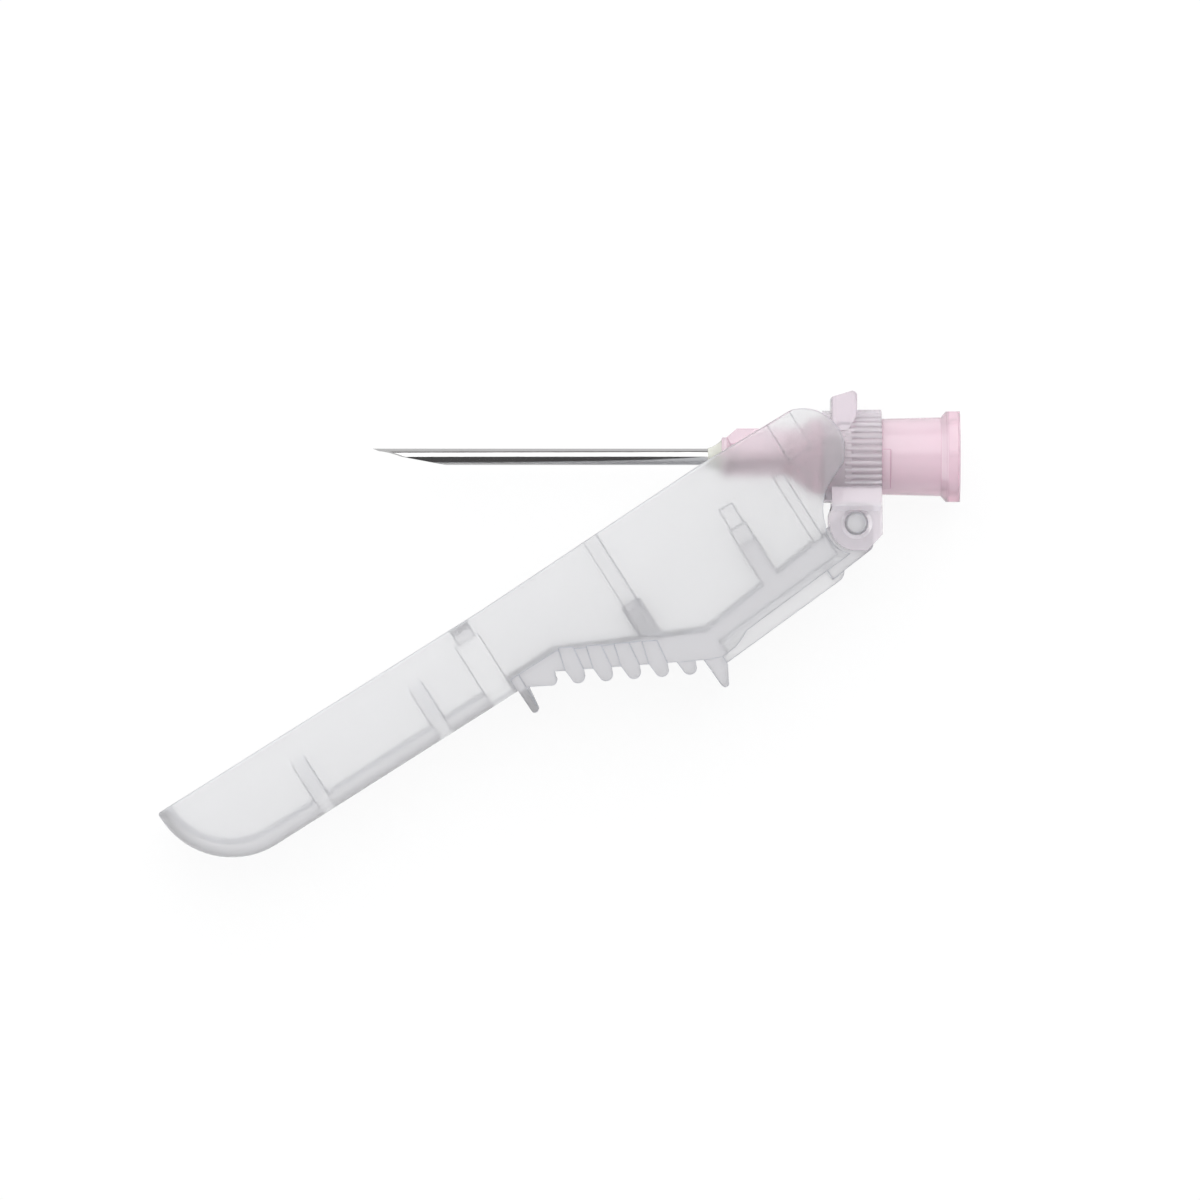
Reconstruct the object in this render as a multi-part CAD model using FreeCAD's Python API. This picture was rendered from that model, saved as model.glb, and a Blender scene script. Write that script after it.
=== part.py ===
import FreeCAD, Part
import math
import os

# Safety hypodermic needle, 18 gauge by one inch, lying on its side with its guard part open.
# Frame: millimetres. X runs along the cannula towards the syringe, Y is up in the plane in which
# the guard swings, and Z is the hinge direction. The origin is the centre of the luer mouth.

# Cannula
CANNULA_OD = 1.25
CANNULA_BORE = 0.84
CANNULA_REACH = 26.65
CANNULA_SEATED = 5.6
BEVEL_ANGLE = 10.6
BEVEL_LENGTH = 5.6
LANCET_ANGLE = 18.6
LANCET_ROLL = 30.0

# Hub, from its mouth to the cup that holds the adhesive
HUB_LENGTH = 18.15
LUER_MOUTH_D = 4.30
LUER_TAPER = 0.06
LUER_DEPTH = 9.6
FUNNEL_LENGTH = 2.6
MOUTH_CHAMFER = 0.15
BARREL_MOUTH_D = 6.02
BARREL_COLLAR_D = 5.80
LUG_D = 7.80
LUG_ACROSS = 6.88
LUG_THICK = 1.02
LUG_LEAD = 0.42
LUG_LEAD_D = 7.0
STOP_LENGTH = 0.66
STOP_HEIGHT = 0.16
STOP_TOP = 0.55
FLANGE_D = 5.9
FLANGE_LENGTH = 0.75
SEAT_D = 5.40
FLARE_LENGTH = 2.3
NOSE_D = 2.10
FIN_THICK = 0.62
FIN_TOP = 2.15
FIN_SIDE = 1.85
FIN_BOTTOM = 1.50
FIN_SLOPE = 0.75
CUP_D = 3.00
CUP_LIP = 0.18
CUP_LENGTH = 0.42
CUP_DEPTH = 1.5
GLUE_LENGTH = 1.05
GLUE_FILM = 0.02
GLUE_CROWN_D = 2.55

# Collar: ribbed ring, plain sleeve, thumb tab and the two hinge ears
COLLAR_FROM_MOUTH = 5.96
RING_D = 7.18
RING_LENGTH = 2.82
RIB_COUNT = 40
RIB_HEIGHT = 0.27
RIB_SHARE = 0.62
SLEEVE_D = 7.04
SLEEVE_LENGTH = 1.70
SEAT_CLEARANCE = 0.02
TAB_FROM_END = 1.89
TAB_LENGTH = 1.98
TAB_HEIGHT = 5.0
TAB_DROP = 0.40
TAB_HALF_WIDTH = 3.0
TAB_CORNER = 0.42
TAB_FOOT = 2.0
EAR_THICK = 1.40
EAR_INSET = 0.12
EAR_ROUND = 2.05
EAR_FOOT = 2.05
EAR_CUT = 1.10
EAR_SHOULDER = 0.95
EAR_WAIST = 1.85

# Hinge
PIN_FROM_END = 1.97
PIN_D = 1.70
PIN_CLEARANCE = 0.05
PIN_CHAMFER = 0.15
PIN_RECESS = 0.20
HOLE_CHAMFER = 0.30
KNUCKLE_ROUND = 1.35
KNUCKLE_CLEARANCE = 0.16
KNUCKLE_SIDE_CLEARANCE = 0.10
GUARD_ANGLE = 32.4

# Guard: a U channel hinged at the pins, its open side facing the cannula
GUARD_LENGTH = 56.75
GUARD_WALL = 0.80
GUARD_FLOOR = 1.05
RING_SIDE_CLEARANCE = 0.21
FRONT_HALF_WIDTH = 3.0
FLARE_START = 27.8
FLARE_END = 17.0
FLARE_BLEND = 9.0
TIP_ROUND = 6.4
SPINE_ROUND = 0.9
FLOOR_ROUND = 0.5
EDGE_ABOVE_AXIS = 4.75
EDGE_DIP = 0.13
EDGE_RISE = 0.30
EDGE_ROUND = 0.22
FLOOR_CLEARANCE = 0.42
EAR_WALL_CLEARANCE = 0.30
REAR_TURN = 30.0
WEB_THICK = 1.15
PAD_ANGLE = 28.0
PAD_INNER_ANGLE = 25.0
PAD_THICK = 2.15
PAD_FRONT_RISE = 1.0
PAD_SIDE_STEP = 0.20
PAD_RIB_INSET = 0.05
PAD_START = 27.7
PAD_RIBS = 5
PAD_RIB_PITCH = 1.88
PAD_RIB_FIRST = 24.7
PAD_RIB_HEIGHT = 1.42
PAD_RIB_WIDTH = 1.25
PAD_BLADE_RISE = 1.75
PAD_BLADE_LEAN = 0.27
FRONT_RIB_U = 28.2
FRONT_RIB_WIDTH = 0.80
FRONT_RIB_HEIGHT = 2.1
REAR_RIB_U = 15.35
REAR_RIB_WIDTH = 1.35
REAR_RIB_HEIGHT = 2.65
PAD_CORNER = 1.1
KEEL_HALF_WIDTH = 1.55
KEEL_DEPTH = 3.0
KEEL_SLOPE = 0.065
KEEL_END = 2.95
HEEL_DEPTH = 2.28
HEEL_SLOPE = 0.10
SKIRT_DEPTH = 1.70
SKIRT_SLOPE = 0.078

# Inside the channel
WINDOW_START = 28.8
WINDOW_END = 30.85
WINDOW_RELIEF = 0.28
HOOK_START = 29.1
HOOK_END = 30.5
HOOK_DEPTH = 1.35
HOOK_SLIT = 1.65
GUSSETS = (45.0, 34.4)
GUSSET_WIDTH = 1.15
GUSSET_TOP = 3.6
GUSSET_REACH = 0.95
GUSSET_SINK = 0.45
RIB_PROUD = 0.5
BULKHEAD_START = 16.9
BULKHEAD_END = 18.5
BULKHEAD_RIB = 1.1
BULKHEAD_CLEARANCE = 0.38
CRADLE_START = 7.1
CRADLE_END = 8.45
CRADLE_TOP = 6.4
CRADLE_STEP = 4.65
CRADLE_REACH = 1.45
CRADLE_NOSE_CLEARANCE = 0.45
SIDE_RIB_START = 2.7
SIDE_RIB_END = 3.5
SIDE_RIB_TOP = 6.3
SIDE_RIB_PROUD = 0.28
POCKET_START = -0.25
POCKET_END = 1.75
POCKET_DEPTH = 3.1
POCKET_RECESS = 0.40

# Positions that follow from the sizes
CANNULA_R = CANNULA_OD / 2
RING_R = RING_D / 2
COLLAR_END = -COLLAR_FROM_MOUTH
RING_START = COLLAR_END - RING_LENGTH
SLEEVE_START = RING_START - SLEEVE_LENGTH
CUP_RIM = -HUB_LENGTH
PIN_X = COLLAR_END - PIN_FROM_END
AXIS_ABOVE_PIN = RING_R + KNUCKLE_ROUND + KNUCKLE_CLEARANCE
BASE_INNER = RING_R + RING_SIDE_CLEARANCE
BASE_OUTER = BASE_INNER + GUARD_WALL
EAR_OUTER = BASE_OUTER - EAR_INSET
EAR_INNER = EAR_OUTER - EAR_THICK
KNUCKLE_HALF_WIDTH = EAR_INNER - KNUCKLE_SIDE_CLEARANCE
OPEN_EDGE = AXIS_ABOVE_PIN + EDGE_ABOVE_AXIS
FRONT_FLOOR = AXIS_ABOVE_PIN - CANNULA_R - FLOOR_CLEARANCE
FRONT_SPINE = FRONT_FLOOR - GUARD_FLOOR
WALL_REAR_ROUND = EAR_ROUND + EAR_WALL_CLEARANCE
PAD_SLOPE = math.tan(math.radians(PAD_ANGLE))
PAD_INNER_SLOPE = math.tan(math.radians(PAD_INNER_ANGLE))
PAD_LINE = FRONT_SPINE + PAD_FRONT_RISE
PAD_FOOT = REAR_RIB_U - REAR_RIB_WIDTH
ALL_WIDTH = 2 * BASE_OUTER

X_AXIS = FreeCAD.Vector(1, 0, 0)
Z_AXIS = FreeCAD.Vector(0, 0, 1)


def outline(start, steps):
    """A flat face inside a closed outline.

    A step is one end point, or a via point and an end point for an arc. A last side closes the
    outline where the steps don't.
    """
    edges = []
    here = start
    for step in steps:
        if len(step) == 1:
            edges.append(Part.LineSegment(here, step[0]).toShape())
        else:
            edges.append(Part.Arc(here, step[0], step[1]).toShape())
        here = step[-1]
    if here.distanceToPoint(start) > 1e-6:
        edges.append(Part.LineSegment(here, start).toShape())
    return Part.Face(Part.Wire(edges))


def across(face, half_width):
    """A flat XY outline made into a solid of this half width on both sides of the middle plane."""
    moved = face.copy()
    moved.translate(FreeCAD.Vector(0, 0, -half_width))
    return moved.extrude(FreeCAD.Vector(0, 0, 2 * half_width))


def slab(x0, x1, y0, y1, z0, z1):
    """A plain block between two corners."""
    low = FreeCAD.Vector(min(x0, x1), min(y0, y1), min(z0, z1))
    size = (abs(x1 - x0), abs(y1 - y0), abs(z1 - z0))
    return Part.makeBox(size[0], size[1], size[2], low)


def turned(profile):
    """A solid of revolution about the cannula's axis from (x, radius) points."""
    points = [FreeCAD.Vector(x, r, 0) for x, r in profile]
    face = Part.Face(Part.makePolygon(points + [points[0]]))
    return face.revolve(FreeCAD.Vector(0, 0, 0), X_AXIS, 360)


def rounded(solid, radius, wanted):
    """The solid with every edge that the test picks rounded."""
    edges = [edge for edge in solid.Edges if wanted(edge)]
    return solid.makeFillet(radius, edges)


def middle(edge):
    """The point halfway along an edge."""
    first, last = edge.ParameterRange
    return edge.valueAt((first + last) / 2)


def direction(edge):
    """The direction of an edge at its middle."""
    first, last = edge.ParameterRange
    return edge.tangentAt((first + last) / 2)


def make_needle_tube():
    """The steel cannula, with a primary bevel and two lancet facets that meet in its point."""
    tip_x = CUP_RIM - CANNULA_REACH
    length = CANNULA_REACH + CANNULA_SEATED
    start = FreeCAD.Vector(tip_x, 0, 0)
    tube = Part.makeCylinder(CANNULA_R, length, start, X_AXIS)
    tube = tube.cut(Part.makeCylinder(CANNULA_BORE / 2, length, start, X_AXIS))
    grind = 4 * BEVEL_LENGTH
    heel = FreeCAD.Vector(tip_x + BEVEL_LENGTH, -CANNULA_R, 0)
    primary = slab(-grind, grind, -grind, 0, -grind, grind)
    primary.rotate(FreeCAD.Vector(0, 0, 0), Z_AXIS, -BEVEL_ANGLE)
    primary.translate(heel)
    tube = tube.cut(primary)
    point = FreeCAD.Vector(tip_x, CANNULA_R, 0)
    for side in (-1, 1):
        lancet = slab(-grind, grind, -grind, 0, -grind, grind)
        lancet.rotate(FreeCAD.Vector(0, 0, 0), Z_AXIS, -LANCET_ANGLE)
        lancet.rotate(FreeCAD.Vector(0, 0, 0), X_AXIS, side * LANCET_ROLL)
        lancet.translate(point)
        tube = tube.cut(lancet)
    return tube


def cup_profile(film):
    """The bore and the cup that the adhesive fills, as (x, radius) points from the rim inwards."""
    hole = CANNULA_R + 2 * GLUE_FILM
    rim = CUP_D / 2 - CUP_LIP - film
    return [(CUP_RIM, rim), (CUP_RIM + CUP_DEPTH - film, hole)]


def make_adhesive():
    """The bead of adhesive that fills the cup and rises along the cannula in a hollow fillet."""
    inner = CANNULA_R + GLUE_FILM
    crown = GLUE_CROWN_D / 2
    rim, bottom = cup_profile(GLUE_FILM)
    front = CUP_RIM - GLUE_LENGTH
    hollow = FreeCAD.Vector(CUP_RIM - GLUE_LENGTH * 0.45, inner + (crown - inner) * 0.42, 0)
    face = outline(
        FreeCAD.Vector(bottom[0], inner, 0),
        [
            [FreeCAD.Vector(bottom[0], bottom[1], 0)],
            [FreeCAD.Vector(rim[0], rim[1], 0)],
            [FreeCAD.Vector(CUP_RIM - GLUE_FILM, crown, 0)],
            [hollow, FreeCAD.Vector(front, inner + GLUE_FILM, 0)],
            [FreeCAD.Vector(front, inner, 0)],
        ],
    )
    return face.revolve(FreeCAD.Vector(0, 0, 0), X_AXIS, 360)


def make_hub():
    """The coloured hub: luer socket with locking lugs, collar seat, flare, finned nose and cup."""
    flange_start = SLEEVE_START - FLANGE_LENGTH
    flare_start = flange_start - FLARE_LENGTH
    lug_start = -LUG_THICK
    body = turned(
        [
            (CUP_RIM, 0),
            (CUP_RIM, CUP_D / 2 - CUP_LIP / 2),
            (CUP_RIM + CUP_LIP / 2, CUP_D / 2),
            (CUP_RIM + CUP_LENGTH, CUP_D / 2),
            (CUP_RIM + CUP_LENGTH + 0.25, NOSE_D / 2),
            (flare_start, NOSE_D / 2 + 0.15),
            (flange_start, FLANGE_D / 2),
            (SLEEVE_START, FLANGE_D / 2),
            (SLEEVE_START, SEAT_D / 2),
            (COLLAR_END, SEAT_D / 2),
            (COLLAR_END, BARREL_COLLAR_D / 2),
            (lug_start - LUG_LEAD, BARREL_MOUTH_D / 2),
            (0, BARREL_MOUTH_D / 2),
            (0, 0),
        ]
    )
    lugs = turned(
        [
            (lug_start - LUG_LEAD, 0),
            (lug_start - LUG_LEAD, BARREL_MOUTH_D / 2),
            (lug_start, LUG_LEAD_D / 2),
            (lug_start, LUG_D / 2 - MOUTH_CHAMFER),
            (lug_start + MOUTH_CHAMFER, LUG_D / 2),
            (-MOUTH_CHAMFER, LUG_D / 2),
            (0, LUG_D / 2 - MOUTH_CHAMFER),
            (0, 0),
        ]
    )
    lugs = lugs.common(slab(-LUG_D, LUG_D, -LUG_ACROSS / 2, LUG_ACROSS / 2, -LUG_D, LUG_D))
    stop = Part.makeCylinder(
        BARREL_COLLAR_D / 2 + STOP_HEIGHT, STOP_LENGTH, FreeCAD.Vector(COLLAR_END, 0, 0), X_AXIS
    )
    stop_window = slab(-HUB_LENGTH, 0, -BARREL_COLLAR_D * 0.42, STOP_TOP, -LUG_D, LUG_D)
    body = body.fuse([lugs, stop.common(stop_window)])
    fin_front = CUP_RIM + CUP_LENGTH
    for turn, reach in ((0, FIN_TOP), (90, FIN_SIDE), (180, FIN_BOTTOM), (270, FIN_SIDE)):
        fin_face = outline(
            FreeCAD.Vector(fin_front, 0, 0),
            [
                [FreeCAD.Vector(fin_front, min(reach, CUP_D / 2), 0)],
                [FreeCAD.Vector(fin_front + FIN_SLOPE, reach, 0)],
                [FreeCAD.Vector(flange_start - 0.2, reach, 0)],
                [FreeCAD.Vector(flange_start, 0, 0)],
            ],
        )
        fin = across(fin_face, FIN_THICK / 2)
        fin.rotate(FreeCAD.Vector(0, 0, 0), X_AXIS, turn)
        body = body.fuse(fin)
    socket_end = -LUER_DEPTH
    mouth_r = LUER_MOUTH_D / 2
    end_r = mouth_r - LUER_TAPER * LUER_DEPTH / 2
    rim, bottom = cup_profile(0)
    hollow = turned(
        [
            (CUP_RIM - 1, 0),
            (CUP_RIM - 1, rim[1]),
            rim,
            bottom,
            (socket_end - FUNNEL_LENGTH, bottom[1]),
            (socket_end, end_r),
            (-MOUTH_CHAMFER, mouth_r),
            (0, mouth_r + MOUTH_CHAMFER),
            (1, mouth_r + MOUTH_CHAMFER),
            (1, 0),
        ]
    )
    return body.cut(hollow).removeSplitter()


def ribbed_ring():
    """The ring with round axial ribs."""
    root = RING_R - RIB_HEIGHT
    step = 2 * math.pi / RIB_COUNT
    half = step * RIB_SHARE / 2

    def on_circle(radius, angle):
        return FreeCAD.Vector(RING_START, radius * math.cos(angle), radius * math.sin(angle))

    edges = []
    for index in range(RIB_COUNT):
        centre = index * step
        left = on_circle(root, centre - half)
        right = on_circle(root, centre + half)
        following = on_circle(root, centre + step - half)
        edges.append(Part.Arc(left, on_circle(RING_R, centre), right).toShape())
        edges.append(Part.LineSegment(right, following).toShape())
    return Part.Face(Part.Wire(edges)).extrude(FreeCAD.Vector(RING_LENGTH, 0, 0))


def thumb_tab():
    """The tab above the ring, with a sloping top and rounded ends that taper down the ring."""
    x1 = COLLAR_END - TAB_FROM_END
    x0 = x1 - TAB_LENGTH
    top = TAB_HEIGHT
    face = outline(
        FreeCAD.Vector(x0, TAB_FOOT, 0),
        [
            [FreeCAD.Vector(x0, top - TAB_DROP - 0.22, 0)],
            [
                FreeCAD.Vector(x0 + 0.06, top - TAB_DROP - 0.08, 0),
                FreeCAD.Vector(x0 + 0.25, top - TAB_DROP, 0),
            ],
            [FreeCAD.Vector(x1 - TAB_CORNER, top, 0)],
            [
                FreeCAD.Vector(x1 - TAB_CORNER * 0.22, top - TAB_CORNER * 0.30, 0),
                FreeCAD.Vector(x1, top - TAB_CORNER * 1.1, 0),
            ],
            [FreeCAD.Vector(x1, TAB_FOOT + 1.2, 0)],
            [FreeCAD.Vector(x1 - 0.7, TAB_FOOT, 0)],
        ],
    )
    tab = across(face, TAB_HALF_WIDTH)
    plan = slab(x0, x1, 0, 2 * top, -TAB_HALF_WIDTH, TAB_HALF_WIDTH)
    upright = rounded(plan, TAB_CORNER, lambda edge: abs(direction(edge).y) > 0.99)
    return tab.common(upright)


def hinge_yoke():
    """The two ears and the crown that joins them under the ring."""
    pin_y = -AXIS_ABOVE_PIN
    left = PIN_X - EAR_ROUND
    waist = PIN_X - EAR_WAIST
    right = COLLAR_END
    low = pin_y - EAR_FOOT
    top = -SEAT_D / 4
    diagonal = EAR_ROUND * math.sqrt(0.5)
    shoulder_y = pin_y + EAR_SHOULDER
    side_face = outline(
        FreeCAD.Vector(left, pin_y, 0),
        [
            [FreeCAD.Vector(PIN_X - diagonal, pin_y - diagonal, 0), FreeCAD.Vector(PIN_X - 0.3, low, 0)],
            [FreeCAD.Vector(right - EAR_CUT, low, 0)],
            [FreeCAD.Vector(right, low + EAR_CUT * 1.1, 0)],
            [FreeCAD.Vector(right, top, 0)],
            [FreeCAD.Vector(waist, top, 0)],
            [FreeCAD.Vector(waist, shoulder_y + 0.3, 0)],
            [FreeCAD.Vector(left, shoulder_y - 0.35, 0)],
        ],
    )
    side = across(side_face, ALL_WIDTH)
    meet_y = -RING_R * 0.655
    meet_z = RING_R * 0.755
    corners = [
        (low - 1, EAR_OUTER),
        (shoulder_y, EAR_OUTER),
        (shoulder_y + 0.40, BASE_INNER - 0.15),
        (meet_y, meet_z),
        (top, meet_z - 0.5),
    ]
    points = [FreeCAD.Vector(SLEEVE_START - 1, y, z) for y, z in corners]
    points += [FreeCAD.Vector(SLEEVE_START - 1, y, -z) for y, z in reversed(corners)]
    section = Part.Face(Part.makePolygon(points + [points[0]]))
    yoke = side.common(section.extrude(FreeCAD.Vector(RING_LENGTH + SLEEVE_LENGTH + 2, 0, 0)))
    slot = slab(
        left - 1, right + 1, low - 1, pin_y + KNUCKLE_ROUND + KNUCKLE_CLEARANCE, -EAR_INNER, EAR_INNER
    )
    yoke = yoke.cut(slot)
    hole_r = PIN_D / 2 + PIN_CLEARANCE
    centre = FreeCAD.Vector(PIN_X, pin_y, -ALL_WIDTH)
    yoke = yoke.cut(Part.makeCylinder(hole_r, 2 * ALL_WIDTH, centre, Z_AXIS))
    for side_sign in (-1, 1):
        start = FreeCAD.Vector(PIN_X, pin_y, side_sign * (EAR_OUTER - HOLE_CHAMFER))
        mouth = Part.makeCone(
            hole_r, hole_r + HOLE_CHAMFER, HOLE_CHAMFER, start, Z_AXIS * side_sign
        )
        yoke = yoke.cut(mouth)
    return yoke


def make_collar():
    """The clear collar on the hub: ribbed ring, sleeve, thumb tab and hinge yoke in one moulding."""
    sleeve = Part.makeCylinder(
        SLEEVE_D / 2, SLEEVE_LENGTH + 0.5, FreeCAD.Vector(SLEEVE_START, 0, 0), X_AXIS
    )
    body = ribbed_ring().fuse([sleeve, thumb_tab(), hinge_yoke()])
    bore_start = FreeCAD.Vector(SLEEVE_START - RING_LENGTH, 0, 0)
    bore = Part.makeCylinder(SEAT_D / 2 + SEAT_CLEARANCE, 4 * RING_LENGTH, bore_start, X_AXIS)
    return body.cut(bore).removeSplitter()


def at(u, v, z=0.0):
    """A point of the guard: u from the hinge pin to the tip, v towards its open edge."""
    return FreeCAD.Vector(-u, v, z)


def pad_outer(u):
    """The outer face of the finger pad, which slopes away from the spine towards the hinge."""
    return PAD_LINE - PAD_SLOPE * (PAD_START - u)


def pad_inner(u):
    """The inner face of the finger pad, less steep, so that the pad is thickest at its foot."""
    foot = pad_outer(PAD_FOOT) + PAD_THICK / math.cos(math.radians(PAD_ANGLE))
    return foot + PAD_INNER_SLOPE * (u - PAD_FOOT)


def ramp_top():
    """Where the finger pad's inner face meets the slim front's floor."""
    return PAD_FOOT + (FRONT_FLOOR - pad_inner(PAD_FOOT)) / PAD_INNER_SLOPE


def skirt(u):
    """The lower edge of the side walls between the hinge and the finger pad."""
    return -SKIRT_DEPTH - SKIRT_SLOPE * (u - WALL_REAR_ROUND)


def keel(u):
    """The lower edge of the keel."""
    return -KEEL_DEPTH - KEEL_SLOPE * (u - KEEL_END)


def heel(u):
    """The lower edge of the knuckle between the ears."""
    return -HEEL_DEPTH - HEEL_SLOPE * u


def web_top(u):
    """The channel's floor between the hinge and the finger pad."""
    rise = (FRONT_FLOOR * 0.1 - pad_inner(PAD_FOOT)) / (PAD_FOOT - KEEL_END)
    return pad_inner(PAD_FOOT) + rise * (PAD_FOOT - u)


def guard_side_outline():
    """The guard's silhouette seen along the hinge pin."""
    rear_angle = math.asin(SKIRT_DEPTH / WALL_REAR_ROUND)
    rear_turn = math.radians(REAR_TURN)
    wall_foot = at(WALL_REAR_ROUND * math.cos(rear_angle), -SKIRT_DEPTH)
    wall_turn = at(WALL_REAR_ROUND * math.cos(rear_turn), WALL_REAR_ROUND * math.sin(rear_turn))
    tip_centre_u = GUARD_LENGTH - TIP_ROUND
    tip_v = FRONT_SPINE + TIP_ROUND
    diagonal = TIP_ROUND * math.sqrt(0.5)
    lobe = AXIS_ABOVE_PIN
    return outline(
        at(GUARD_LENGTH, tip_v),
        [
            [at(GUARD_LENGTH, OPEN_EDGE)],
            [at(FLARE_START, OPEN_EDGE - EDGE_DIP)],
            [at(8.0, OPEN_EDGE + EDGE_RISE)],
            [at(-0.35, OPEN_EDGE + 0.10)],
            [at(-2.72, lobe + 2.0), at(-1.7, lobe - 0.60)],
            [at(-0.6, lobe - 1.12)],
            [at(1.20, lobe - 2.32), wall_turn],
            [at(WALL_REAR_ROUND, 0), wall_foot],
            [at(PAD_FOOT - 2.6, skirt(PAD_FOOT - 2.6))],
            [
                at(PAD_FOOT - 1.9, skirt(PAD_FOOT) - 0.15),
                at(PAD_FOOT - 1.1, skirt(PAD_FOOT) - 0.42),
            ],
            [at(PAD_FOOT, skirt(PAD_FOOT) - 0.5)],
            [at(REAR_RIB_U, pad_outer(REAR_RIB_U))],
            [at(PAD_START, pad_outer(PAD_START))],
            [at(PAD_START, FRONT_SPINE)],
            [at(tip_centre_u, FRONT_SPINE)],
            [at(tip_centre_u + diagonal, tip_v - diagonal), at(GUARD_LENGTH, tip_v)],
        ],
    )


def guard_plan(inset):
    """The guard's plan seen from its open side: slim in front, flared to straddle the ring."""
    front = FRONT_HALF_WIDTH - inset
    base = BASE_OUTER - inset
    half = [(GUARD_LENGTH - inset, front), (FLARE_START, front), (FLARE_END, base), (-2 * EAR_ROUND, base)]
    points = [at(u, -2 * OPEN_EDGE, z) for u, z in half]
    points += [at(u, -2 * OPEN_EDGE, -z) for u, z in reversed(half)]
    face = Part.Face(Part.makePolygon(points + [points[0]]))
    plan = face.extrude(FreeCAD.Vector(0, 4 * OPEN_EDGE, 0))

    def bend_edge(edge):
        upright = abs(direction(edge).y) > 0.99
        place = -middle(edge).x
        return upright and (abs(place - FLARE_START) < 0.01 or abs(place - FLARE_END) < 0.01)

    return rounded(plan, FLARE_BLEND, bend_edge)


def channel_cavity():
    """The space inside the channel, open towards the cannula and towards the hinge."""
    inner_tip = TIP_ROUND - GUARD_WALL
    tip_u = GUARD_LENGTH - GUARD_WALL
    tip_v = FRONT_FLOOR + inner_tip
    diagonal = inner_tip * math.sqrt(0.5)
    above = 2 * OPEN_EDGE
    side = outline(
        at(tip_u, above),
        [
            [at(-2 * EAR_ROUND, above)],
            [at(-2 * EAR_ROUND, web_top(KEEL_END))],
            [at(KEEL_END, web_top(KEEL_END))],
            [at(PAD_FOOT, pad_inner(PAD_FOOT))],
            [at(ramp_top(), FRONT_FLOOR)],
            [at(tip_u - inner_tip, FRONT_FLOOR)],
            [at(tip_u - inner_tip + diagonal, tip_v - diagonal), at(tip_u, tip_v)],
        ],
    )
    cavity = across(side, ALL_WIDTH).common(guard_plan(GUARD_WALL))

    def floor_edge(edge):
        spot = middle(edge)
        at_rear = abs(spot.x - 2 * EAR_ROUND) < 0.01
        return abs(direction(edge).z) < 0.9 and spot.y < above - 0.01 and not at_rear

    return rounded(cavity, FLOOR_ROUND, floor_edge)


def channel():
    """The U channel with its flared side walls and the lobes beside the ring."""
    shell = across(guard_side_outline(), ALL_WIDTH).common(guard_plan(0.0))

    def spine_edge(edge):
        spot = middle(edge)
        in_front = -spot.x > FLARE_START + 0.5
        return abs(direction(edge).z) < 0.9 and in_front and spot.y < OPEN_EDGE - EDGE_DIP

    shell = rounded(shell, SPINE_ROUND, spine_edge)

    def open_edge(edge):
        spot = middle(edge)
        above_tip = -spot.x > GUARD_LENGTH - 0.01
        level = abs(direction(edge).y) < 0.9999 and (abs(direction(edge).z) < 0.999 or above_tip)
        return level and spot.x < 0 and spot.y > OPEN_EDGE - 2 * EDGE_DIP

    shell = rounded(shell, EDGE_ROUND, open_edge)
    shell = shell.cut(channel_cavity())
    trough = outline(
        at(PAD_FOOT - 0.4, -2 * KEEL_DEPTH),
        [
            [at(PAD_FOOT - 0.4, web_top(PAD_FOOT - 0.4) - WEB_THICK)],
            [at(-2 * EAR_ROUND, web_top(KEEL_END) - WEB_THICK)],
            [at(-2 * EAR_ROUND, -2 * KEEL_DEPTH)],
        ],
    )
    shell = shell.cut(across(trough, BASE_INNER))
    rear_floor = slab(2 * EAR_ROUND, -WALL_REAR_ROUND - 0.15, -KEEL_DEPTH,
                      web_top(KEEL_END) + 0.01, -BASE_INNER, BASE_INNER)
    return shell.cut(rear_floor)


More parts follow.
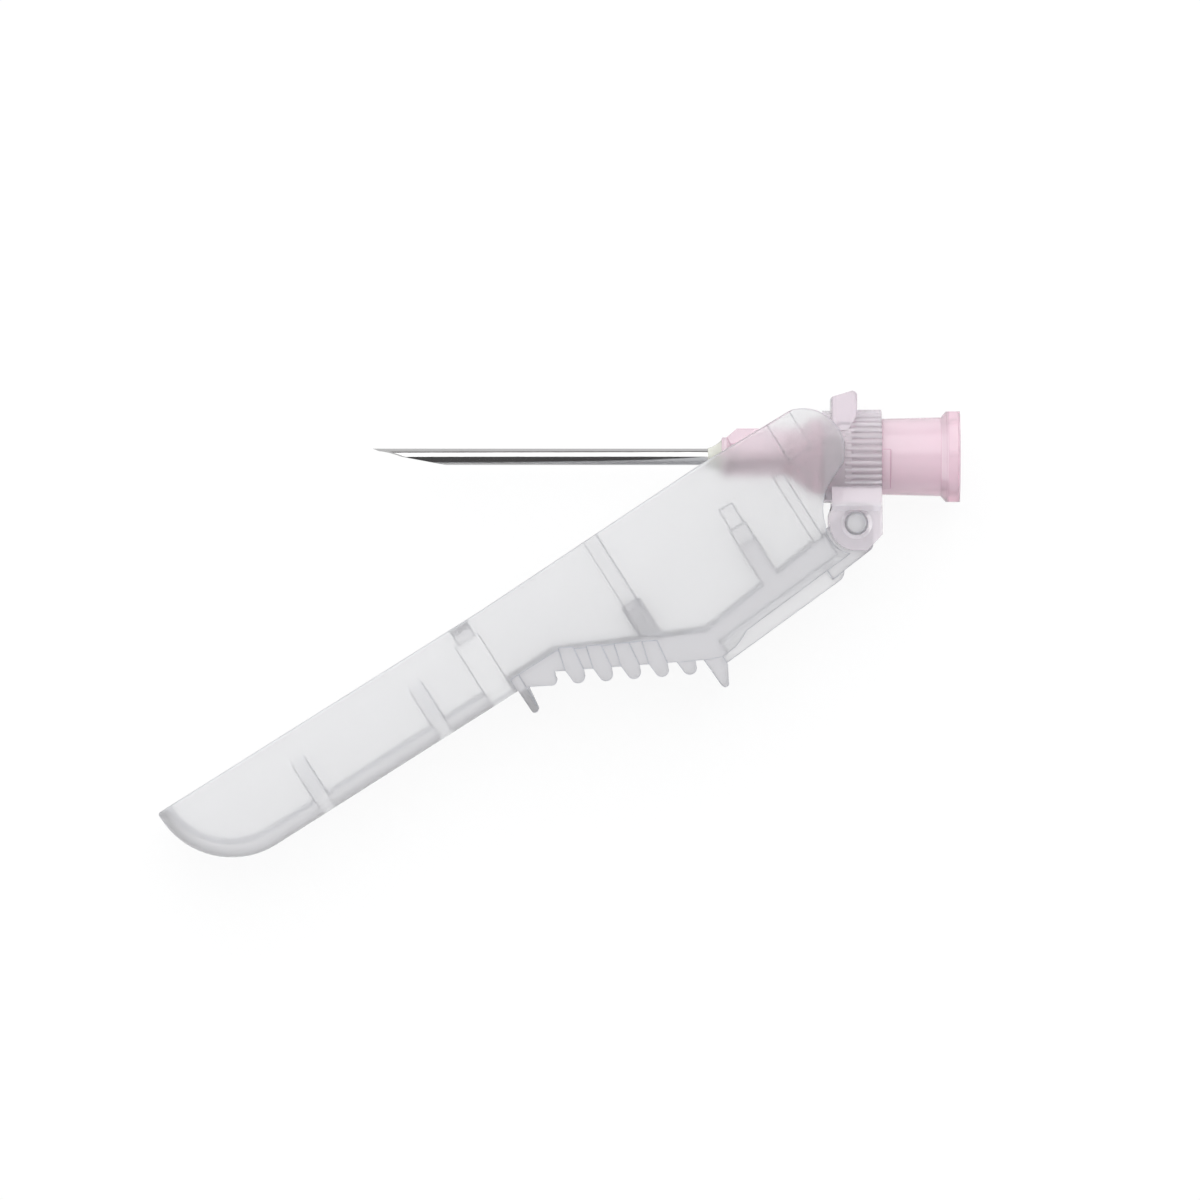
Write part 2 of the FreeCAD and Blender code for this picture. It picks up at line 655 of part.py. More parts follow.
def finger_pad():
    """The finger pad: a sloping plate as wide as the base, with ribs to push against."""
    front_lip = FRONT_RIB_U + FRONT_RIB_WIDTH / 2
    plate = outline(
        at(front_lip, FRONT_FLOOR),
        [
            [at(front_lip - 0.1, FRONT_SPINE - FRONT_RIB_HEIGHT + 0.25)],
            [
                at(FRONT_RIB_U, FRONT_SPINE - FRONT_RIB_HEIGHT),
                at(FRONT_RIB_U - FRONT_RIB_WIDTH / 2 + 0.12, FRONT_SPINE - FRONT_RIB_HEIGHT + 0.2),
            ],
            [at(PAD_START, FRONT_SPINE - 0.15)],
            [at(PAD_START - 1.55, FRONT_SPINE - 1.02)],
            [at(PAD_START - 2.0, FRONT_SPINE - 0.98), at(PAD_START - 2.15, FRONT_SPINE - 0.6)],
            [at(PAD_START - 2.3, pad_outer(PAD_START - 2.3))],
            [at(REAR_RIB_U, pad_outer(REAR_RIB_U))],
            [at(REAR_RIB_U - 0.12, pad_outer(REAR_RIB_U) - REAR_RIB_HEIGHT + 0.25)],
            [
                at(REAR_RIB_U - 0.35, pad_outer(REAR_RIB_U) - REAR_RIB_HEIGHT),
                at(REAR_RIB_U - 0.7, pad_outer(REAR_RIB_U) - REAR_RIB_HEIGHT + 0.25),
            ],
            [at(PAD_FOOT, keel(PAD_FOOT) - 0.1)],
            [at(PAD_FOOT, pad_inner(PAD_FOOT) - 0.15)],
            [at(ramp_top(), FRONT_FLOOR)],
        ],
    )
    pad = across(plate, BASE_OUTER - PAD_SIDE_STEP)
    front_rib = outline(
        at(front_lip, FRONT_FLOOR),
        [
            [at(front_lip - 0.1, FRONT_SPINE - FRONT_RIB_HEIGHT + 0.25)],
            [
                at(FRONT_RIB_U, FRONT_SPINE - FRONT_RIB_HEIGHT),
                at(FRONT_RIB_U - FRONT_RIB_WIDTH / 2 + 0.12, FRONT_SPINE - FRONT_RIB_HEIGHT + 0.2),
            ],
            [at(FRONT_RIB_U - FRONT_RIB_WIDTH / 2 + 0.05, FRONT_FLOOR)],
        ],
    )
    rear_rib = outline(
        at(REAR_RIB_U, pad_outer(REAR_RIB_U)),
        [
            [at(REAR_RIB_U - 0.12, pad_outer(REAR_RIB_U) - REAR_RIB_HEIGHT + 0.25)],
            [
                at(REAR_RIB_U - 0.35, pad_outer(REAR_RIB_U) - REAR_RIB_HEIGHT),
                at(REAR_RIB_U - 0.7, pad_outer(REAR_RIB_U) - REAR_RIB_HEIGHT + 0.25),
            ],
            [at(PAD_FOOT, keel(PAD_FOOT) - 0.1)],
            [at(PAD_FOOT, pad_outer(PAD_FOOT) + 0.6)],
        ],
    )
    rib_half = BASE_OUTER - PAD_RIB_INSET
    ribs = [across(front_rib, rib_half), across(rear_rib, rib_half)]
    lean = PAD_BLADE_RISE * PAD_BLADE_LEAN
    for index in range(PAD_RIBS):
        u = PAD_RIB_FIRST - index * PAD_RIB_PITCH
        v = pad_outer(u)
        deep = v - PAD_RIB_HEIGHT
        back = PAD_RIB_WIDTH * 0.8
        face = outline(
            at(u - lean, v + PAD_BLADE_RISE),
            [
                [at(u, v)],
                [at(u - 0.07, deep + 0.42)],
                [at(u - PAD_RIB_WIDTH * 0.46, deep), at(u - PAD_RIB_WIDTH * 0.84, deep + 0.24)],
                [at(u - PAD_RIB_WIDTH, v - PAD_RIB_WIDTH * PAD_SLOPE)],
                [at(u - back - lean, v + PAD_BLADE_RISE - back * PAD_SLOPE)],
            ],
        )
        beside_wall = index == PAD_RIBS - 1
        ribs.append(across(face, rib_half if beside_wall else BASE_OUTER))
    pad = pad.fuse(ribs)
    plan_points = [(front_lip, BASE_OUTER), (PAD_FOOT, BASE_OUTER)]
    corners = [at(u, -3 * OPEN_EDGE, z) for u, z in plan_points]
    corners += [at(u, -3 * OPEN_EDGE, -z) for u, z in reversed(plan_points)]
    plan_face = Part.Face(Part.makePolygon(corners + [corners[0]]))
    plan = plan_face.extrude(FreeCAD.Vector(0, 6 * OPEN_EDGE, 0))

    def front_corner(edge):
        return abs(direction(edge).y) > 0.99 and abs(middle(edge).x + front_lip) < 0.01

    return pad.common(rounded(plan, PAD_CORNER, front_corner))


def knuckle():
    """The block between the ears, the keel in front of it and the two stub pins."""
    r = KNUCKLE_ROUND
    block = outline(
        at(KEEL_END + 0.8, web_top(KEEL_END)),
        [
            [at(KEEL_END + 0.8, heel(KEEL_END + 0.8))],
            [at(0.25, heel(0.25))],
            [at(-0.08, heel(0) + 0.08), at(-0.28, heel(0) + 0.38)],
            [at(-r * 0.93, -r * 0.367)],
            [at(-r * 0.75, r * 0.661), at(r * 0.25, r * 0.968)],
        ],
    )
    solid = across(block, KNUCKLE_HALF_WIDTH)
    keel_face = outline(
        at(PAD_FOOT, web_top(PAD_FOOT) - 0.2),
        [
            [at(PAD_FOOT, keel(PAD_FOOT))],
            [at(KEEL_END + 0.3, keel(KEEL_END + 0.3))],
            [at(KEEL_END, keel(KEEL_END) + 0.12), at(KEEL_END - 0.3, heel(KEEL_END - 0.3))],
            [at(KEEL_END - 0.3, web_top(KEEL_END) - 0.2)],
        ],
    )
    solid = solid.fuse(across(keel_face, KEEL_HALF_WIDTH))
    floor_face = outline(
        at(KEEL_END + 0.8, web_top(KEEL_END) - WEB_THICK),
        [
            [at(WALL_REAR_ROUND + 0.15, web_top(KEEL_END) - WEB_THICK)],
            [at(WALL_REAR_ROUND + 0.15, web_top(KEEL_END))],
            [at(KEEL_END + 0.8, web_top(KEEL_END))],
        ],
    )
    solid = solid.fuse(across(floor_face, BASE_INNER + 0.2))
    reach = EAR_OUTER - PIN_RECESS
    pin = Part.makeCylinder(PIN_D / 2, 2 * reach, FreeCAD.Vector(0, 0, -reach), Z_AXIS)

    def pin_end(edge):
        return abs(abs(middle(edge).z) - reach) < 0.01

    ends = [edge for edge in pin.Edges if pin_end(edge) and edge.Closed and abs(direction(edge).z) < 0.1]
    pin = pin.makeChamfer(PIN_CHAMFER, ends)
    return solid.fuse(pin)


def wall_rib(u0, u1, v0, v1, wall_in, proud):
    """A pair of upright ribs on the inner faces of the two side walls."""
    pair = []
    for side in (-1, 1):
        pair.append(slab(-u0, -u1, v0, v1, side * (wall_in - proud), side * (wall_in + 0.3)))
    return pair


def inner_features():
    """Hooks, gussets, bulkhead, cradle and side ribs inside the channel."""
    front_in = FRONT_HALF_WIDTH - GUARD_WALL
    pieces = []
    hook_v = OPEN_EDGE - EDGE_DIP
    for side in (-1, 1):
        corners = [
            (hook_v - 0.03, front_in + 0.3),
            (hook_v - 0.03, front_in),
            (hook_v - HOOK_DEPTH * 0.45, HOOK_SLIT / 2),
            (hook_v - HOOK_DEPTH, HOOK_SLIT / 2),
            (hook_v - HOOK_DEPTH, front_in + 0.3),
        ]
        points = [at(HOOK_START, v, side * z) for v, z in corners]
        face = Part.Face(Part.makePolygon(points + [points[0]]))
        pieces.append(face.extrude(FreeCAD.Vector(HOOK_START - HOOK_END, 0, 0)))
    for u in GUSSETS:
        for side in (-1, 1):
            corners = [
                (FRONT_FLOOR - 0.3, front_in + 0.3),
                (FRONT_FLOOR - 0.3, front_in - GUSSET_REACH),
                (FRONT_FLOOR + 0.2, front_in - GUSSET_REACH),
                (FRONT_FLOOR + GUSSET_TOP, front_in),
                (FRONT_FLOOR + GUSSET_TOP, front_in + 0.3),
            ]
            points = [at(u, v, side * z) for v, z in corners]
            face = Part.Face(Part.makePolygon(points + [points[0]]))
            pieces.append(face.extrude(FreeCAD.Vector(-GUSSET_WIDTH, 0, 0)))
    bulkhead_top = AXIS_ABOVE_PIN - CANNULA_R - BULKHEAD_CLEARANCE
    bulkhead_in = BASE_INNER - 0.25
    pieces.append(
        slab(-BULKHEAD_START, -BULKHEAD_END, pad_inner(BULKHEAD_START) - 0.8, bulkhead_top,
             -bulkhead_in, bulkhead_in)
    )
    rib_u = BULKHEAD_START + 0.25
    pieces += wall_rib(rib_u, rib_u + BULKHEAD_RIB, bulkhead_top - 0.5, OPEN_EDGE - 0.02,
                       BASE_INNER - 0.2, RIB_PROUD)
    low = web_top(CRADLE_START) - 0.3
    pieces.append(
        slab(-CRADLE_START, -CRADLE_END, low, AXIS_ABOVE_PIN - FIN_BOTTOM - CRADLE_NOSE_CLEARANCE,
             -BASE_INNER - 0.2, BASE_INNER + 0.2)
    )
    pieces += wall_rib(CRADLE_START, CRADLE_END, low, CRADLE_STEP, BASE_INNER, CRADLE_REACH)
    pieces += wall_rib(CRADLE_START + 0.1, CRADLE_END - 0.15, low, CRADLE_TOP, BASE_INNER, RIB_PROUD)
    pieces += wall_rib(SIDE_RIB_START, SIDE_RIB_END, web_top(KEEL_END) - 0.3, SIDE_RIB_TOP,
                       BASE_INNER, SIDE_RIB_PROUD)
    return pieces


def mould_openings():
    """The window and the thinner walls under the hooks, the sinks and the two latch pockets."""
    front_in = FRONT_HALF_WIDTH - GUARD_WALL
    relief = front_in + WINDOW_RELIEF
    hook_foot = OPEN_EDGE - EDGE_DIP - HOOK_DEPTH
    cuts = [
        slab(-WINDOW_START, -WINDOW_END, FRONT_SPINE + 0.4, hook_foot, -relief, relief),
        slab(-WINDOW_START, -WINDOW_END, FRONT_SPINE - 0.5, FRONT_FLOOR,
             -relief + SPINE_ROUND * 0.5, relief - SPINE_ROUND * 0.5),
    ]
    sink_half = front_in - GUSSET_REACH
    for u in GUSSETS:
        cuts.append(
            slab(-u, -u - GUSSET_WIDTH, FRONT_FLOOR - GUSSET_SINK, FRONT_FLOOR + GUSSET_SINK,
                 -sink_half, sink_half)
        )
    pocket_low = OPEN_EDGE - POCKET_DEPTH
    for side in (-1, 1):
        cuts.append(
            slab(-POCKET_START, -POCKET_END, pocket_low, 2 * OPEN_EDGE,
                 side * (BASE_INNER - 0.5), side * (BASE_INNER + POCKET_RECESS))
        )
    return cuts


def make_guard():
    """The clear guard in one moulding, turned to the angle at which it rests."""
    guard = channel().fuse([finger_pad(), knuckle()] + inner_features())
    for cut in mould_openings():
        guard = guard.cut(cut)
    guard = guard.removeSplitter()
    guard.rotate(FreeCAD.Vector(0, 0, 0), Z_AXIS, GUARD_ANGLE)
    guard.translate(FreeCAD.Vector(PIN_X, -AXIS_ABOVE_PIN, 0))
    return guard


def main():
    os.makedirs("parts", exist_ok=True)
    makers = {
        "needle_tube": make_needle_tube,
        "adhesive": make_adhesive,
        "hub": make_hub,
        "collar": make_collar,
        "guard": make_guard,
    }
    for name, make in makers.items():
        solid = make()
        box = solid.BoundBox
        print(name, solid.isValid(), len(solid.Solids), round(solid.Volume, 2), len(solid.Faces),
              [round(value, 2) for value in (box.XMin, box.XMax, box.YMin, box.YMax, box.ZMin, box.ZMax)])
        solid.exportStep("parts/" + name + ".step")


main()
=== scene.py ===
import bpy
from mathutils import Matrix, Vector


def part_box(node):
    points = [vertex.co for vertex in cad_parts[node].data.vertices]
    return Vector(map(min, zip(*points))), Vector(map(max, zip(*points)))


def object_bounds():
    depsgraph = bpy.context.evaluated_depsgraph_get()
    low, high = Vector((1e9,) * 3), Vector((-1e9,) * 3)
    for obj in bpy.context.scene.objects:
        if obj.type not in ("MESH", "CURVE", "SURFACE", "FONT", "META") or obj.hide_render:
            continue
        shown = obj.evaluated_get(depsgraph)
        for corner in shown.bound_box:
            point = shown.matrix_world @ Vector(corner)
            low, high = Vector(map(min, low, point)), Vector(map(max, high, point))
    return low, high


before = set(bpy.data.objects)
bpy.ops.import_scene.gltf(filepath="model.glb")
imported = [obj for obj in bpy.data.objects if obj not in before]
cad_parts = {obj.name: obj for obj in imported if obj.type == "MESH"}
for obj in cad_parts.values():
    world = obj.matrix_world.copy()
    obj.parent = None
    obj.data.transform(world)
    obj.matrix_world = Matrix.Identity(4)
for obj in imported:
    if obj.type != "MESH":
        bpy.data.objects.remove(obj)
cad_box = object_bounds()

# Finish of a safety hypodermic needle that lies on its side on a white table.
# Lengths are metres. X runs along the cannula towards the syringe, Y is up in the guard's swing
# plane and Z points at the camera.

MM = 0.001
FRAME_WIDTH = 91.6 * MM
VIEW_CENTRE = (-27.43 * MM, -10.93 * MM)
LENS = 400.0
SENSOR = 36.0
FLOOR_GAP = 0.02 * MM

PLASTIC_IOR = 1.49
STEEL_GREY = 0.60
STEEL_POLISH = (0.13, 0.24)
BLASTED_ROUGHNESS = 0.75
BLASTED_GREY = (0.95, 0.94, 0.94)
BLASTED_EDGE = 0.3 * MM

TABLE_SIZE = 4.0
TABLE_GLOW = 0.90
STUDIO_LIGHT = (0.96, 0.98, 1.0)
STUDIO_STRENGTH = 0.72
BOX_PLACE = (-0.03, 0.386, 0.46)
BOX_TARGET = (-0.03, 0.0, 0.0)
BOX_SIZE = (0.8, 0.69)
BOX_POWER = 3.4
# Light passes up to twelve faces where the guard covers the collar and the hub
LIGHT_BOUNCES = 28
MIRRORED_FLOOR = 0.75
MIRRORED_STUDIO = ((-1.0, (0.44, 0.43, 0.43)), (0.0, (0.27, 0.26, 0.26)), (0.35, (0.10, 0.095, 0.095)),
                   (1.0, (0.08, 0.08, 0.08)))
# What the plastics show of the studio: bright towards the soft box and darker away from it
BRIGHT_SIDE = (0.35, 0.937, 0.0)
THROUGH_ACROSS = ((-0.9, (0.68, 0.69, 0.72)), (-0.5, (0.77, 0.78, 0.81)), (-0.25, (0.89, 0.90, 0.92)),
                  (-0.06, (1.0, 1.0, 1.0)))
THROUGH_STRENGTH = 1.1
THROUGH_UP = ((-0.2, (0.91, 0.91, 0.91)), (0.35, (1.0, 1.0, 1.0)), (1.0, (1.0, 1.0, 1.0)))


def start_material(name):
    """An empty node material with its output node."""
    material = bpy.data.materials.new(name)
    material.use_nodes = True
    nodes = material.node_tree.nodes
    nodes.clear()
    output = nodes.new("ShaderNodeOutputMaterial")
    return material, nodes, material.node_tree.links, output


def place_coordinates(nodes, links, scale):
    """Object coordinates, stretched by a scale on each axis."""
    where = nodes.new("ShaderNodeTexCoord")
    mapping = nodes.new("ShaderNodeMapping")
    mapping.inputs["Scale"].default_value = scale
    links.new(where.outputs["Object"], mapping.inputs["Vector"])
    return mapping.outputs["Vector"]


def noise(nodes, links, vector, scale, detail=2.0, rough=0.5):
    """A noise texture read at a vector."""
    texture = nodes.new("ShaderNodeTexNoise")
    texture.inputs["Scale"].default_value = scale
    texture.inputs["Detail"].default_value = detail
    texture.inputs["Roughness"].default_value = rough
    links.new(vector, texture.inputs["Vector"])
    return texture.outputs["Fac"]


def spread(nodes, links, value, low, high):
    """A value from 0 to 1 spread over a range."""
    ranged = nodes.new("ShaderNodeMapRange")
    ranged.inputs["From Min"].default_value = 0.3
    ranged.inputs["From Max"].default_value = 0.7
    ranged.inputs["To Min"].default_value = low
    ranged.inputs["To Max"].default_value = high
    links.new(value, ranged.inputs["Value"])
    return ranged.outputs["Result"]


def bumped(nodes, links, height, strength, distance):
    """A bump normal from a height."""
    bump = nodes.new("ShaderNodeBump")
    bump.inputs["Strength"].default_value = strength
    bump.inputs["Distance"].default_value = distance
    links.new(height, bump.inputs["Height"])
    return bump.outputs["Normal"]


def edge_rounding(nodes, radius):
    """The small radius that a mould leaves on every edge, as a shading normal."""
    bevel = nodes.new("ShaderNodeBevel")
    bevel.samples = 6
    bevel.inputs["Radius"].default_value = radius
    return bevel.outputs["Normal"]


def edge_shade_mask(nodes, links, rounding):
    """Mask for the painted edge shading: how near a point is to an edge, 0 on the faces and 1 on the
    edge itself.
    """
    surface = nodes.new("ShaderNodeNewGeometry")
    same = nodes.new("ShaderNodeVectorMath")
    same.operation = "DOT_PRODUCT"
    links.new(surface.outputs["Normal"], same.inputs[0])
    links.new(rounding, same.inputs[1])
    share = nodes.new("ShaderNodeMapRange")
    share.interpolation_type = "SMOOTHSTEP"
    share.inputs["From Min"].default_value = 0.985
    share.inputs["From Max"].default_value = 0.85
    links.new(same.outputs["Value"], share.inputs["Value"])
    return share.outputs["Result"]


def plastic(name, colour, painted_edge_shading, roughness, absorbed, density, grain, bump_height, edge, transmission):
    """A clear or tinted moulding: light passes it, and its own depth of plastic tints the light.

    Along the edges the tint goes to the painted edge shading colour. It paints the shade that a
    rounded edge gives by bending the light away; on the collar that colour is paler and paints light.
    """
    material, nodes, links, output = start_material(name)
    shader = nodes.new("ShaderNodeBsdfPrincipled")
    shader.inputs["IOR"].default_value = PLASTIC_IOR
    shader.inputs["Transmission Weight"].default_value = transmission
    vector = place_coordinates(nodes, links, (1.0, 1.0, 1.0))
    cloud = noise(nodes, links, vector, grain * 0.15)
    fine = noise(nodes, links, vector, grain, 3.0)
    links.new(spread(nodes, links, cloud, *roughness), shader.inputs["Roughness"])
    tint = nodes.new("ShaderNodeMix")
    tint.data_type = "RGBA"
    tint.inputs[6].default_value = (*colour[0], 1.0)
    tint.inputs[7].default_value = (*colour[1], 1.0)
    links.new(cloud, tint.inputs[0])
    rounding = edge_rounding(nodes, edge)
    # Painted edge shade: near every edge the base colour goes to the edge shading colour, in place of
    # the shade a rounded edge gives by bending light.
    edge_shaded_tint = nodes.new("ShaderNodeMix")
    edge_shaded_tint.data_type = "RGBA"
    edge_shaded_tint.inputs[7].default_value = (*painted_edge_shading, 1.0)
    links.new(edge_shade_mask(nodes, links, rounding), edge_shaded_tint.inputs[0])
    links.new(tint.outputs[2], edge_shaded_tint.inputs[6])
    links.new(edge_shaded_tint.outputs[2], shader.inputs["Base Color"])
    normal = bumped(nodes, links, fine, 0.3, bump_height)
    links.new(rounding, normal.node.inputs["Normal"])
    links.new(normal, shader.inputs["Normal"])
    volume = nodes.new("ShaderNodeVolumeAbsorption")
    volume.inputs["Color"].default_value = (*absorbed, 1.0)
    volume.inputs["Density"].default_value = density
    links.new(shader.outputs["BSDF"], output.inputs["Surface"])
    links.new(volume.outputs["Volume"], output.inputs["Volume"])
    return material


def steel(seat):
    """Drawn and polished stainless tube, with fine streaks along it.

    Behind the seat, inside the hub, the tube is blasted matt for the adhesive.
    """
    material, nodes, links, output = start_material("steel_finish")
    shader = nodes.new("ShaderNodeBsdfPrincipled")
    shader.inputs["Metallic"].default_value = 1.0
    along = place_coordinates(nodes, links, (0.06, 1.0, 1.0))
    streaks = noise(nodes, links, along, 9000.0, 4.0, 0.6)
    patches = noise(nodes, links, place_coordinates(nodes, links, (1.0, 3.0, 3.0)), 260.0, 2.0)
    where = nodes.new("ShaderNodeTexCoord")
    split = nodes.new("ShaderNodeSeparateXYZ")
    links.new(where.outputs["Object"], split.inputs[0])
    blasted = nodes.new("ShaderNodeMapRange")
    blasted.inputs["From Min"].default_value = seat
    blasted.inputs["From Max"].default_value = seat + BLASTED_EDGE
    links.new(split.outputs["X"], blasted.inputs["Value"])
    finish = nodes.new("ShaderNodeMix")
    finish.inputs[3].default_value = BLASTED_ROUGHNESS
    links.new(blasted.outputs["Result"], finish.inputs[0])
    links.new(spread(nodes, links, streaks, *STEEL_POLISH), finish.inputs[2])
    links.new(finish.outputs[0], shader.inputs["Roughness"])
    tone = nodes.new("ShaderNodeMix")
    tone.data_type = "RGBA"
    tone.inputs[6].default_value = (STEEL_GREY, STEEL_GREY, STEEL_GREY * 1.01, 1.0)
    tone.inputs[7].default_value = (STEEL_GREY * 1.12, STEEL_GREY * 1.11, STEEL_GREY * 1.10, 1.0)
    links.new(patches, tone.inputs[0])
    matt = nodes.new("ShaderNodeMix")
    matt.data_type = "RGBA"
    matt.inputs[7].default_value = (*BLASTED_GREY, 1.0)
    links.new(blasted.outputs["Result"], matt.inputs[0])
    links.new(tone.outputs[2], matt.inputs[6])
    links.new(matt.outputs[2], shader.inputs["Base Color"])
    links.new(bumped(nodes, links, streaks, 0.25, 0.004 * MM), shader.inputs["Normal"])
    links.new(shader.outputs["BSDF"], output.inputs["Surface"])
    return material


def finish_node(node, material):
    """Gives a moulded or drawn piece its finish."""
    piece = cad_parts[node]
    piece.data.materials.clear()
    piece.data.materials.append(material)


def make_floor():
    """The white table: it shows as white, keeps a faint shadow and lets the studio shine up."""
    bpy.ops.mesh.primitive_plane_add(size=TABLE_SIZE, location=(*VIEW_CENTRE, 0.0))
    floor = bpy.context.object
    floor.name = "floor"
    floor.location.z = cad_box[0].z - FLOOR_GAP
    material, nodes, links, output = start_material("white_table")
    path = nodes.new("ShaderNodeLightPath")
    paper = nodes.new("ShaderNodeBsdfDiffuse")
    paper.inputs["Color"].default_value = (1.0, 1.0, 1.0, 1.0)
    white = nodes.new("ShaderNodeEmission")
    white.inputs["Strength"].default_value = 1.0
    table = nodes.new("ShaderNodeMixShader")
    table.inputs[0].default_value = TABLE_GLOW
    mirrored = nodes.new("ShaderNodeEmission")
    mirrored.inputs["Strength"].default_value = MIRRORED_FLOOR
    through = nodes.new("ShaderNodeBsdfTransparent")
    links.new(paper.outputs[0], table.inputs[1])
    links.new(white.outputs[0], table.inputs[2])
    shader = paper.outputs[0]
    for kind, seen in (
        ("Is Camera Ray", table),
        ("Is Glossy Ray", mirrored),
        ("Is Transmission Ray", through),
    ):
        mix = nodes.new("ShaderNodeMixShader")
        links.new(path.outputs[kind], mix.inputs[0])
        links.new(shader, mix.inputs[1])
        links.new(seen.outputs[0], mix.inputs[2])
        shader = mix.outputs[0]
    links.new(shader, output.inputs["Surface"])
    floor.data.materials.append(material)


def lean_ramp(nodes, links, lean, stops):
    """Colour by how far a direction leans to one side, from -1 against it to 1 along it."""
    share = nodes.new("ShaderNodeMapRange")
    share.inputs["From Min"].default_value = -1.0
    links.new(lean, share.inputs["Value"])
    ramp = nodes.new("ShaderNodeValToRGB")
    band = ramp.color_ramp
    band.interpolation = "EASE"
    while len(band.elements) < len(stops):
        band.elements.new(1.0)
    for element, (place, colour) in zip(band.elements, stops):
        element.position = (place + 1.0) / 2.0
        element.color = (*colour, 1.0)
    links.new(share.outputs["Result"], ramp.inputs["Fac"])
    return ramp.outputs["Color"]


def make_world():
    """A studio that is white where the camera looks straight at it and shaded elsewhere."""
    world = bpy.data.worlds.new("studio")
    bpy.context.scene.world = world
    world.use_nodes = True
    nodes = world.node_tree.nodes
    links = world.node_tree.links
    nodes.clear()
    output = nodes.new("ShaderNodeOutputWorld")
    path = nodes.new("ShaderNodeLightPath")
    where = nodes.new("ShaderNodeTexCoord")
    split = nodes.new("ShaderNodeSeparateXYZ")
    links.new(where.outputs["Generated"], split.inputs[0])
    light = nodes.new("ShaderNodeBackground")
    light.inputs["Color"].default_value = (*STUDIO_LIGHT, 1.0)
    light.inputs["Strength"].default_value = STUDIO_STRENGTH
    mirrored = nodes.new("ShaderNodeBackground")
    links.new(lean_ramp(nodes, links, split.outputs["Z"], MIRRORED_STUDIO), mirrored.inputs["Color"])
    through = nodes.new("ShaderNodeBackground")
    sideways = nodes.new("ShaderNodeVectorMath")
    sideways.operation = "DOT_PRODUCT"
    sideways.inputs[1].default_value = BRIGHT_SIDE
    links.new(where.outputs["Generated"], sideways.inputs[0])
    shade = nodes.new("ShaderNodeMix")
    shade.data_type = "RGBA"
    shade.blend_type = "MULTIPLY"
    shade.inputs[0].default_value = 1.0
    links.new(lean_ramp(nodes, links, sideways.outputs["Value"], THROUGH_ACROSS), shade.inputs[6])
    links.new(lean_ramp(nodes, links, split.outputs["Z"], THROUGH_UP), shade.inputs[7])
    links.new(shade.outputs[2], through.inputs["Color"])
    through.inputs["Strength"].default_value = THROUGH_STRENGTH
    white = nodes.new("ShaderNodeBackground")
    white.inputs["Color"].default_value = (1.0, 1.0, 1.0, 1.0)
    shader = light.outputs[0]
    for kind, background in (
        ("Is Glossy Ray", mirrored),
        ("Is Transmission Ray", through),
        ("Is Camera Ray", white),
    ):
        mix = nodes.new("ShaderNodeMixShader")
        links.new(path.outputs[kind], mix.inputs[0])
        links.new(shader, mix.inputs[1])
        links.new(background.outputs[0], mix.inputs[2])
        shader = mix.outputs[0]
    links.new(shader, output.inputs["Surface"])


def area_lamp(name, place, target, size, power):
    """A soft box that faces a target."""
    data = bpy.data.lights.new(name, "AREA")
    data.shape = "RECTANGLE"
    data.size, data.size_y = size
    data.energy = power
    lamp = bpy.data.objects.new(name, data)
    bpy.context.scene.collection.objects.link(lamp)
    lamp.location = place
    lamp.rotation_euler = (Vector(target) - Vector(place)).to_track_quat("-Z", "Y").to_euler()
    lamp.visible_transmission = False
    return lamp


def make_camera():
    """The camera straight above the object, with a long lens."""
    data = bpy.data.cameras.new("camera")
    data.lens = LENS
    data.sensor_width = SENSOR
    data.clip_start = 0.05
    data.clip_end = 20.0
    camera = bpy.data.objects.new("camera", data)
    bpy.context.scene.collection.objects.link(camera)
    distance = FRAME_WIDTH * LENS / SENSOR
    camera.location = (VIEW_CENTRE[0], VIEW_CENTRE[1], distance)
    bpy.context.scene.camera = camera


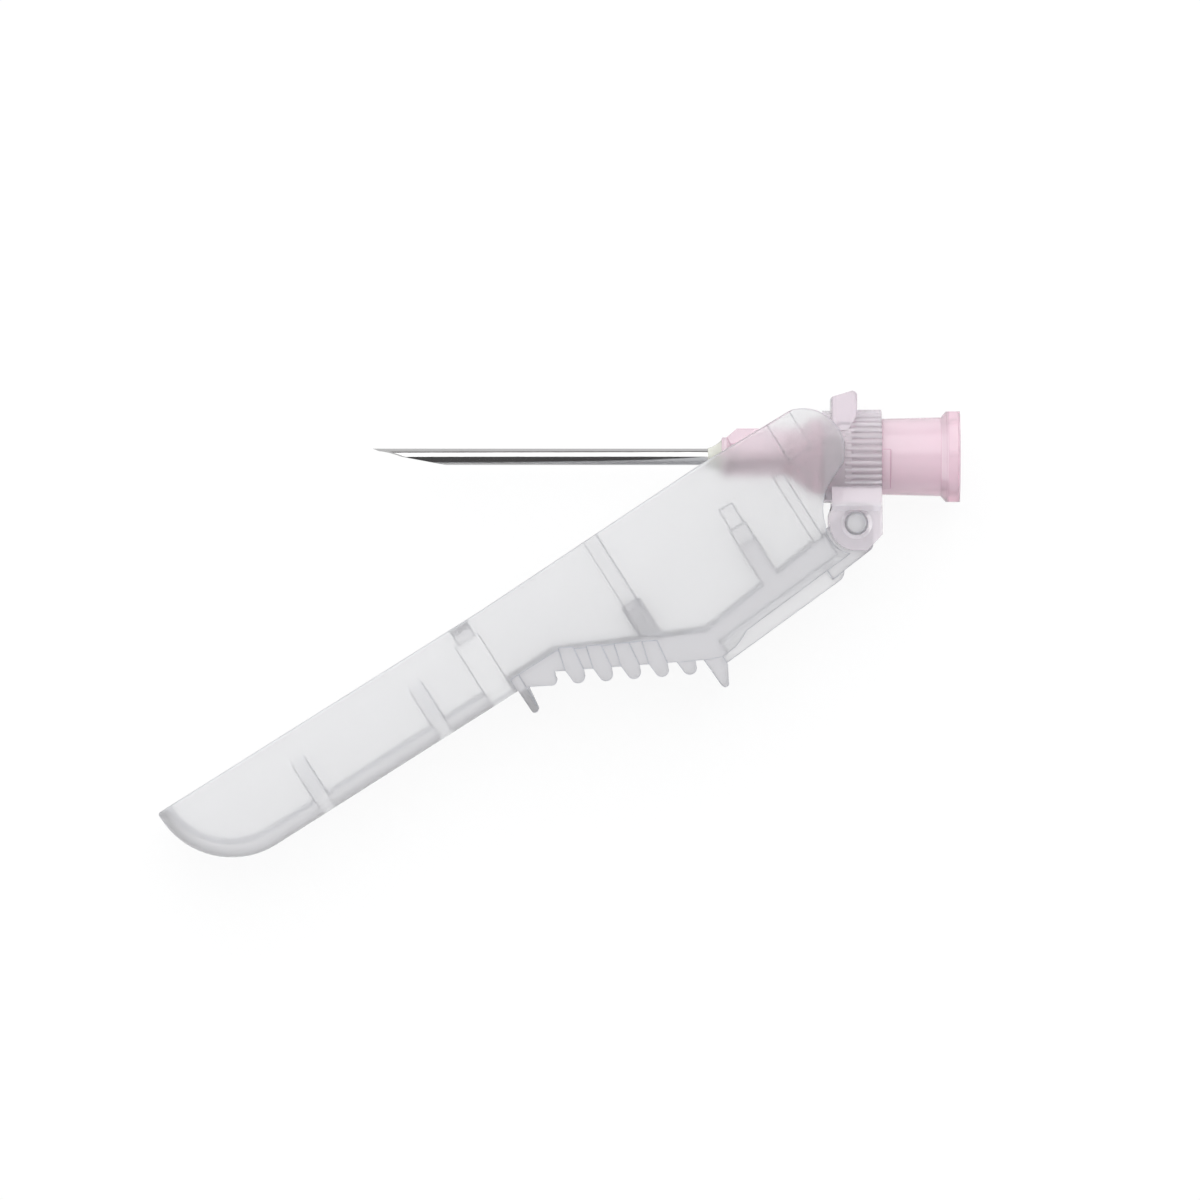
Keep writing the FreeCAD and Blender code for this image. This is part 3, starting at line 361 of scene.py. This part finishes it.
finish_node("needle_tube", steel(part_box("hub")[0].x))
finish_node(
    "adhesive",
    plastic(
        "adhesive_finish",
        colour=((1.0, 1.0, 0.90), (1.0, 1.0, 0.94)),
        # Painted shade: the adhesive goes a little darker and yellower along its edges.
        painted_edge_shading=(0.92, 0.95, 0.80),
        roughness=(0.19, 0.26),
        absorbed=(0.80, 0.88, 0.25),
        density=60.0,
        grain=2500.0,
        bump_height=0.02 * MM,
        edge=0.05 * MM,
        transmission=0.50,
    ),
)
finish_node(
    "hub",
    plastic(
        "pink_finish",
        colour=((0.98, 0.84, 0.90), (1.0, 0.87, 0.93)),
        # Painted shade: the hub goes deeper pink along its edges, where light runs longer through the
        # plastic.
        painted_edge_shading=(0.82, 0.44, 0.60),
        roughness=(0.14, 0.22),
        absorbed=(0.95, 0.30, 0.55),
        density=120.0,
        grain=2200.0,
        bump_height=0.01 * MM,
        edge=0.09 * MM,
        transmission=0.57,
    ),
)
finish_node(
    "collar",
    plastic(
        "clear_finish",
        colour=((0.96, 0.93, 0.955), (0.98, 0.95, 0.975)),
        # Painted light: the collar goes paler along its edges.
        painted_edge_shading=(1.0, 0.97, 0.985),
        roughness=(0.08, 0.14),
        # Partly painted light: the faint tint is the collar's own, and the deeper pink of its
        # absorption paints the hub's pink light caught inside the clear collar.
        absorbed=(0.84, 0.68, 0.78),
        density=140.0,
        grain=2200.0,
        bump_height=0.01 * MM,
        edge=0.05 * MM,
        transmission=0.68,
    ),
)
finish_node(
    "guard",
    plastic(
        "frosted_finish",
        colour=((0.985, 0.985, 0.99), (1.0, 1.0, 1.0)),
        # Painted shade: a grey-blue line along every edge of the guard.
        painted_edge_shading=(0.60, 0.62, 0.69),
        roughness=(0.285, 0.34),
        absorbed=(0.64, 0.63, 0.66),
        density=110.0,
        grain=2600.0,
        bump_height=0.01 * MM,
        edge=0.16 * MM,
        transmission=0.92,
    ),
)

make_floor()
make_world()
area_lamp("upper_box", BOX_PLACE, BOX_TARGET, BOX_SIZE, BOX_POWER)
make_camera()
bpy.context.scene.view_settings.view_transform = "Standard"
bpy.context.scene.cycles.max_bounces = LIGHT_BOUNCES
bpy.context.scene.cycles.transmission_bounces = LIGHT_BOUNCES
